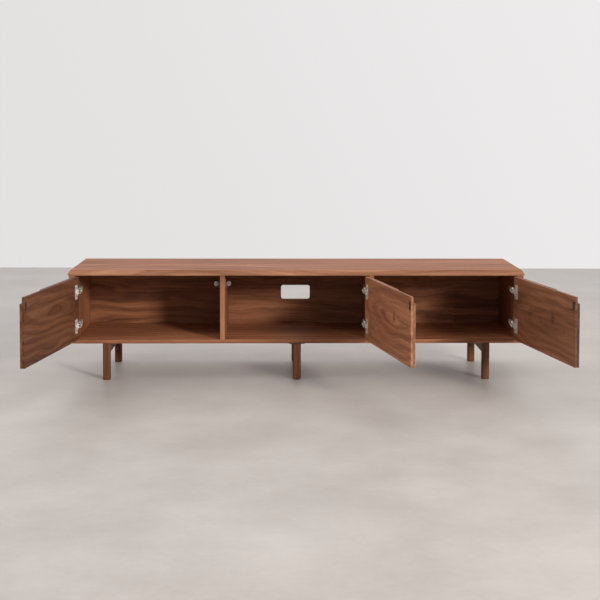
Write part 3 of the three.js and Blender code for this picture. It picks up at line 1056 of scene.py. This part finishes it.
@dataclass
class Door:
    """One door: two boards, two hinge cups, a strike and the hinge links."""

    name: str
    figure: Figure
    face_figure: Figure
    seed: float
    inner_tone: float
    face_tone: float
    contrast: float
    # The tone of the free edge: painted highlight on the middle door's edge and painted shade on
    # the right door's edge, with the edge's own tone.
    end_tone_and_light: Colour
    pivot_in_panel: float = 4 * MM
    gap: float = 2 * MM
    pivot_ahead: float = 5 * MM
    thickness: float = 19.3 * MM
    cup_from_edge: float = 22.5 * MM
    cup_radius: float = 17.5 * MM
    cup_wall: float = 1.2 * MM
    cup_depth: float = 11.5 * MM
    seat: float = 0.3 * MM
    flange: float = 1.5 * MM
    ring_radius: float = 19.5 * MM
    wing_near: float = 15 * MM
    wing_far: float = 49 * MM
    wing_half: float = 33 * MM
    wing_corner: float = 8 * MM
    wing_screw: float = 3.5 * MM
    wing_screw_from_cup: float = 9.5 * MM
    wing_screw_rise: float = 25.5 * MM
    wing_screw_seat: float = 0.6
    cup_crease: float = 50.0
    rim_drop: float = 0.62
    floor_radius: float = 3.6 * MM
    bottom_radius: float = 2.0 * MM
    ease: float = 0.9 * MM
    link_ease: float = 0.35 * MM
    strike_ease: float = 0.4 * MM
    end_depth: float = 1.2 * MM
    ring: float = 34 * MM
    face_seed_step: float = 2.6
    strike_screw: float = 6.0 * MM
    strike_screw_rise: float = 7.2 * MM
    strike_screw_base: float = -1.85 * MM
    steps: int = 120

    def build(self, finishes: Finishes, screws: Screws) -> None:
        """Makes the door and everything that moves with it.

        Args:
            finishes: The shared finishes.
            screws: The screw maker.
        """
        self.frame = DoorFrame.of(self.name)
        self.matrix = self.frame.matrix()
        self.inner = self.pivot_ahead + self.thickness
        body = f"{self.name}_door"
        self._boards()
        dressed(f"{body}_strike", finishes.brown, self.strike_ease, body, "catch_grey")
        spots = []
        for row in ("upper", "lower"):
            level = middle_of(f"{self.name}_{row}_hinge_cup").z
            self._cup(row, level, finishes)
            spots += self._wing_spots(level)
            link = f"{self.name}_{row}_hinge_link"
            dressed(link, finishes.nickel, self.link_ease, f"{self.name}_{row}_link", "nickel")
        screws.drive(
            f"{self.name}_cup_screws", spots, self.wing_screw, finishes.nickel, body, "nickel")
        screws.drive(
            f"{self.name}_strike_screws", self._strike_spots(), self.strike_screw, finishes.black,
            body, "black_fitting")

    def _walnut(self, part: str, figure: Figure, tone: float, step: float) -> Walnut:
        """The finish of one of the door's boards.

        Args:
            part: Which board, inner or face.
            figure: The board's eye.
            tone: How light it is.
            step: What is added to the door's seed.

        Returns:
            The finish.
        """
        pivot = self.frame.pivot
        end = self._reach(f"{self.name}_door_{part}_board") - self.end_depth
        return Walnut(
            f"walnut_{self.name}_door_{part}", Lay.FRONT, self.seed + step, tone, figure,
            (pivot.x, pivot.y, 0.0), self.frame.turn, self.frame.hand, self.ring,
            self.contrast, EdgeToneAndLight(0, end, 1.0, self.end_tone_and_light))

    def _reach(self, node: str) -> float:
        """How far a board reaches from the hinge axis."""
        back = self.matrix.inverted()
        return max((back @ vertex.co).x for vertex in frame["nodes"][node].data.vertices)

    def _boards(self) -> None:
        """The inner board and the face board."""
        for part, figure, tone, step in (
            ("inner", self.figure, self.inner_tone, 0.0),
            ("face", self.face_figure, self.face_tone, self.face_seed_step),
        ):
            node = f"{self.name}_door_{part}_board"
            wood = self._walnut(part, figure, tone, step).build()
            dressed(node, wood, self.ease, f"{self.name}_door", "walnut_door")

    def _outwards(self) -> Vector:
        """The way that the door's inner face looks."""
        return (self.matrix.to_3x3() @ Vector((0.0, 1.0, 0.0))).normalized()

    def _strike_spots(self) -> List[ScrewSpot]:
        """Two screws in the strike.

        Returns:
            Where they sit.
        """
        middle = middle_of(f"{self.name}_door_strike")
        outwards = self._outwards()
        face = middle + outwards * self.strike_screw_base
        return [ScrewSpot(face + Vector((0.0, 0.0, rise)), outwards)
                for rise in (-self.strike_screw_rise, self.strike_screw_rise)]

    def _wing_spots(self, level: float) -> List[ScrewSpot]:
        """Two screws in a cup's wings.

        Args:
            level: The hinge's height.

        Returns:
            Where they sit.
        """
        along = self._edge() + self.cup_from_edge + self.wing_screw_from_cup
        top = self.inner + self.seat + self.flange * self.wing_screw_seat
        return [ScrewSpot(self.matrix @ Vector((along, top, level + rise)), self._outwards())
                for rise in (-self.wing_screw_rise, self.wing_screw_rise)]

    def _edge(self) -> float:
        """From the hinge axis to the door's edge."""
        return self.pivot_in_panel + self.gap

    def _cup(self, row: str, level: float, finishes: Finishes) -> None:
        """A pressed cup with its raised rim and wings.

        Args:
            row: Which hinge, upper or lower.
            level: The hinge's height.
            finishes: The shared finishes.
        """
        node = f"{self.name}_{row}_hinge_cup"
        reach = self.cup_from_edge
        wings = Outline.rounded(
            (self.wing_near - reach, -self.wing_half), (self.wing_far - reach, self.wing_half),
            self.wing_corner)
        plate = wings.joined(Outline.circle(self.ring_radius))
        well = Outline.circle(self.cup_radius - self.cup_wall)
        wall = Outline.circle(self.cup_radius)
        rim = Outline.circle(self.ring_radius)
        lip = self.seat + self.flange
        flat = self.seat + self.flange * self.rim_drop
        floor = self.cup_wall - self.cup_depth
        steps = (
            (well, self.floor_radius, floor),
            (well, 1.5 * MM, floor + 0.5 * MM),
            (well, 0.4 * MM, floor + 1.6 * MM),
            (well, 0.0, floor + 3.2 * MM),
            (well, 0.0, lip - 0.5 * MM),
            (well, -0.15 * MM, lip - 0.12 * MM),
            (well, -0.5 * MM, lip),
            (rim, 0.8 * MM, lip),
            (rim, 0.35 * MM, lip - 0.15 * MM),
            (rim, 0.1 * MM, flat),
            (plate, 0.45 * MM, flat),
            (plate, 0.12 * MM, flat - 0.12 * MM),
            (plate, 0.0, flat - 0.45 * MM),
            (plate, 0.0, self.seat + 0.1 * MM),
            (plate, 0.1 * MM, self.seat),
            (wall, 0.0, self.seat),
            (wall, 0.0, self.bottom_radius - self.cup_depth),
            (wall, 0.5 * MM, 0.7 * MM - self.cup_depth),
            (wall, self.bottom_radius, -self.cup_depth),
        )
        rings = [Ring(outline, inset, height) for outline, inset, height in steps]
        centre = self._edge() + reach

        def place(a: float, b: float, height: float) -> Vector:
            """From the cup's middle to the room."""
            return self.matrix @ Vector((centre + a, self.inner + height, level + b))

        cup = shell(f"{node}_pressed", rings, place, finishes.nickel, self.steps, self.cup_crease)
        settle(cup, f"{self.name}_door", "nickel", node)


@dataclass
class CaseHinges:
    """The hinge arms and mounting plates of one door."""

    door: str
    hand: float
    ease: float = 0.45 * MM
    plate_screw: float = 3.6 * MM
    plate_screw_rise: float = 19 * MM
    plate_base: float = 2.8 * MM
    plate_seat: float = 0.3 * MM
    plate_screw_from_front: float = 20 * MM
    arm_top: float = 20 * MM
    arm_screw_steps: Tuple[float, float] = (27 * MM, 50 * MM)
    screw_sunk: float = 0.3 * MM

    def build(self, finishes: Finishes, screws: Screws) -> None:
        """Makes both arms, both plates and their screws.

        Args:
            finishes: The shared finishes.
            screws: The screw maker.
        """
        spots = []
        for row in ("upper", "lower"):
            for part in ("arm", "plate"):
                node = f"{self.door}_{row}_hinge_{part}"
                dressed(node, finishes.nickel, self.ease, "case", "nickel")
            spots += self._spots(row)
        screws.drive(
            f"{self.door}_hinge_screws", spots, self.plate_screw, finishes.nickel, "case",
            "nickel")

    def _spots(self, row: str) -> List[ScrewSpot]:
        """The plate's fixing screws and the arm's adjusting screws.

        Args:
            row: Which hinge, upper or lower.

        Returns:
            Where they sit.
        """
        outwards = Vector((self.hand, 0.0, 0.0))
        low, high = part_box(f"{self.door}_{row}_hinge_plate")
        foot = low.x if self.hand > 0 else high.x
        level = (low.z + high.z) / 2
        face = foot + self.hand * (self.plate_base - self.screw_sunk)
        ahead = low.y + self.plate_screw_from_front
        spots = [ScrewSpot(Vector((face, ahead, level + rise)), outwards)
                 for rise in (-self.plate_screw_rise, self.plate_screw_rise)]
        top = foot + self.hand * (self.arm_top - self.plate_seat - self.screw_sunk)
        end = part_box(f"{self.door}_{row}_hinge_arm")[1].y
        for step in self.arm_screw_steps:
            spots.append(ScrewSpot(Vector((top, end - step, level)), outwards))
        return spots


@dataclass
class Catch:
    """A round magnetic catch on its bracket."""

    name: str
    hand: float
    radius: float = 11 * MM
    ease: float = 0.7 * MM
    pole_half: Tuple[float, float] = (6.2 * MM, 1.5 * MM)
    pole_rise: float = 3.2 * MM
    pole_corner: float = 0.6 * MM
    pole_ahead: float = 0.25 * MM
    pole_inside: float = 3.0 * MM
    pole_ease: float = 0.2 * MM
    screw: float = 2.7 * MM
    screw_rise: float = 14.2 * MM
    screw_seat: float = 2.3 * MM
    steps: int = 72

    def build(self, finishes: Finishes, screws: Screws) -> None:
        """Makes the bracket, the round body, its two poles and its screws.

        Args:
            finishes: The shared finishes.
            screws: The screw maker.
        """
        node = f"{self.name}_catch"
        dressed(node, finishes.grey, self.ease, "case", "catch_grey")
        low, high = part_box(node)
        level = (low.z + high.z) / 2
        centre = high.x - self.radius if self.hand > 0 else low.x + self.radius
        for rise in (-self.pole_rise, self.pole_rise):
            self._pole(f"{node}_{'upper' if rise > 0 else 'lower'}_pole", finishes,
                       centre, low.y, level + rise)
        outwards = Vector((self.hand, 0.0, 0.0))
        face = (low.x if self.hand > 0 else high.x) + self.hand * self.screw_seat
        spots = [ScrewSpot(Vector((face, (low.y + high.y) / 2, level + rise)), outwards)
                 for rise in (-self.screw_rise, self.screw_rise)]
        screws.drive(f"{node}_screws", spots, self.screw, finishes.nickel, "case", "nickel")

    def _pole(self, name: str, finishes: Finishes, x: float, y: float, z: float) -> None:
        """One steel pole in the catch's front.

        Args:
            name: The piece's name.
            finishes: The shared finishes.
            x: Its middle.
            y: The catch's front.
            z: Its height.
        """
        outline = Outline.rounded(
            (-self.pole_half[0], -self.pole_half[1]), self.pole_half, self.pole_corner)
        rings = bar_rings(outline, -self.pole_ahead, self.pole_inside, self.pole_ease)
        pole = shell(
            name, rings, lambda a, b, height: Vector((x + a, y + height, z + b)),
            finishes.steel, self.steps)
        settle(pole, "case", "nickel")


# ------------------------------------------------------------------------------------ studio
@dataclass(frozen=True)
class Lamp:
    """A square soft light: where it is, what it faces, its side and its power in watts."""

    name: str
    place: Point
    target: Point
    size: float
    power: float
    colour: Colour

    def build(self) -> None:
        """Puts the light in the scene."""
        light = bpy.data.lights.new(self.name, "AREA")
        light.shape = "SQUARE"
        light.size = self.size
        light.energy = self.power
        light.color = self.colour
        made = bpy.data.objects.new(self.name, light)
        made.location = self.place
        facing = Vector(self.target) - Vector(self.place)
        made.rotation_euler = facing.to_track_quat("-Z", "Y").to_euler()
        bpy.context.scene.collection.objects.link(made)


@dataclass
class Studio:
    """A pale floor, a pale room, soft lights and the camera."""

    floor_back: float = 4.13
    floor_skew: float = 0.016
    floor_front: float = -9.0
    floor_half: float = 9.0
    focal_length: float = 72.632
    sensor: float = 36.0
    shift_x: float = -0.0059
    shift_y: float = -0.1937
    camera_place: Point = (-0.0938, -5.1771, 1.1399)
    pitch: float = math.radians(3.0)
    yaw: float = 0.02296
    roll: float = 0.00295
    # The wall seen by the camera runs from the left colour to a lighter right colour: a painted
    # patch of light on the backdrop.
    wall_left: Colour = (0.775, 0.755, 0.755)
    wall_right_painted_light: Colour = (0.845, 0.830, 0.830)
    room_light: float = 0.58
    more_from_back: float = 0.50
    more_from_above: float = 0.30
    glow_colour: Colour = (0.98, 0.98, 1.0)
    floor_dark: Colour = (0.445, 0.405, 0.375)
    floor_pale: Colour = (0.560, 0.518, 0.486)
    floor_roughness: float = 0.42
    floor_gloss: float = 0.20
    sight: float = 100.0
    lamps: Tuple[Lamp, ...] = (
        Lamp("key", (5.9, -8.2, 3.5), (-0.2, 0.3, 0.4), 1.8, 880.0, (1.0, 0.94, 0.88)),
        Lamp("fill", (-4.6, -2.0, 4.2), (-0.6, -0.6, 0.0), 2.6, 55.0, (1.0, 0.98, 0.96)),
        Lamp("over", (0.4, 2.0, 3.6), (0.1, 1.0, 0.0), 3.0, 30.0, (1.0, 0.98, 0.96)),
    )

    def build(self) -> None:
        """Makes the whole studio."""
        self._view()
        self._room()
        self._floor()
        for lamp in self.lamps:
            lamp.build()
        self._camera()

    def _view(self) -> None:
        """Plain colours, with no film look."""
        bpy.context.scene.view_settings.view_transform = "Standard"
        bpy.context.scene.view_settings.look = "None"

    def _room(self) -> None:
        """The room's pale wall, painted lighter towards the upper right as a painted patch of
        light, and the softer light that it gives.
        """
        world = bpy.data.worlds.new("pale_room")
        bpy.context.scene.world = world
        world.use_nodes = True
        graph = Graph(world.node_tree)
        seen = graph.node("ShaderNodeLightPath", {}, {}).outputs["Is Camera Ray"]
        heading = graph.node("ShaderNodeTexCoord", {}, {}).outputs["Generated"]
        across, back, above = graph.parts(heading)
        # The wall grows lighter to the upper right: a painted patch of light, seen only by the
        # camera.
        painted_light_share = (across + above * 0.5).between(-0.2, 0.35)
        paint = graph.mix(painted_light_share, self.wall_left, self.wall_right_painted_light)
        wall = graph.node("ShaderNodeBackground", {}, {0: paint, 1: 1.0})
        light = (back * self.more_from_back + above * self.more_from_above + 1.0) * self.room_light
        glow = graph.node("ShaderNodeBackground", {}, {0: (*self.glow_colour, 1.0), 1: light})
        both = graph.node(
            "ShaderNodeMixShader", {}, {0: seen, 1: glow.outputs[0], 2: wall.outputs[0]})
        graph.node("ShaderNodeOutputWorld", {}, {0: both.outputs[0]})

    def _floor(self) -> None:
        """A sealed pale concrete floor."""
        mesh = bpy.data.meshes.new("floor")
        x = self.floor_half
        lean = x * self.floor_skew
        corners = [(-x, self.floor_front, 0.0), (x, self.floor_front, 0.0),
                   (x, self.floor_back - lean, 0.0), (-x, self.floor_back + lean, 0.0)]
        mesh.from_pydata(corners, [], [(0, 1, 2, 3)])
        finish, graph = material("sealed_concrete")
        here = graph.here()
        cloud = graph.noise(graph.stretched(here, (2.3, 2.3, 2.3), (4.0, 1.0, 0.0)), 8.0, 0.62)
        sand = graph.noise(graph.stretched(here, (38.0, 38.0, 38.0), (0.0, 0.0, 0.0)), 4.0)
        tone = cloud * 0.8 + sand * 0.2
        stops = [(0.33, self.floor_dark), (0.67, self.floor_pale)]
        graph.surface({
            "Base Color": graph.ramp(tone, stops),
            "Roughness": (cloud - 0.5) * 0.2 + (sand - 0.5) * 0.1 + self.floor_roughness,
            "Specular IOR Level": self.floor_gloss,
        })
        add_object("floor", mesh, finish)

    def _camera(self) -> None:
        """A long lens from the front, a little above the top."""
        camera = bpy.data.cameras.new("front_camera")
        camera.lens = self.focal_length
        camera.sensor_width = self.sensor
        camera.shift_x = self.shift_x
        camera.shift_y = self.shift_y
        camera.clip_end = self.sight
        made = bpy.data.objects.new("front_camera", camera)
        made.matrix_world = (
            Matrix.Translation(self.camera_place) @ Matrix.Rotation(-self.yaw, 4, "Z")
            @ Matrix.Rotation(math.pi / 2 - self.pitch, 4, "X")
            @ Matrix.Rotation(self.roll, 4, "Z"))
        bpy.context.scene.collection.objects.link(made)
        bpy.context.scene.camera = made


# -------------------------------------------------------------------------------------- main
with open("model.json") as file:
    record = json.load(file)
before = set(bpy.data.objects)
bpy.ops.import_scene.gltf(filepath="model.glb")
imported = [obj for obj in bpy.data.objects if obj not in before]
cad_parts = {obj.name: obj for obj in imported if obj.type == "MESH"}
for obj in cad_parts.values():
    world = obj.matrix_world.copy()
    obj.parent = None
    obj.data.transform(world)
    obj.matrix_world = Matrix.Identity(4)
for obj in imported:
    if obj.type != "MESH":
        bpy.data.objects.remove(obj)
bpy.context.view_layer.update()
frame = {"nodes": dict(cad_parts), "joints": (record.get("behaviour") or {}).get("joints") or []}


def main() -> None:
    """Builds the stand in its studio."""
    logging.basicConfig(level=logging.INFO, format="%(name)s: %(message)s")
    finishes = Finishes()
    screws = Screws()
    CaseBody().build(finishes, screws)
    LegSet().build(finishes, screws)
    doors = [
        Door(
            "left", Figure(0.346, 0.371), Figure(0.22, 0.28), seed=20.0, inner_tone=0.58,
            face_tone=0.80, contrast=0.80, end_tone_and_light=(0.95, 0.95, 1.00)),
        # The middle door's free edge is lightened as a painted highlight.
        Door(
            "middle", Figure(0.42, 0.345, 4.2, knot=0.040), Figure(0.30, 0.36), seed=23.5,
            inner_tone=1.66, face_tone=1.25, contrast=0.75, end_tone_and_light=(1.00, 1.10, 1.20)),
        # The right door's free edge is darkened and greyed as painted shade.
        Door(
            "right", Figure(0.42, 0.335, 4.6, knot=0.048), Figure(0.40, 0.30), seed=27.9,
            inner_tone=1.12, face_tone=0.80, contrast=0.65, end_tone_and_light=(0.47, 0.58, 0.72)),
    ]
    for door in doors:
        door.build(finishes, screws)
        hand = DoorFrame.of(door.name).hand
        CaseHinges(door.name, hand).build(finishes, screws)
        Catch(door.name, -hand).build(finishes, screws)
    Studio().build()


if __name__ == "__main__":
    main()
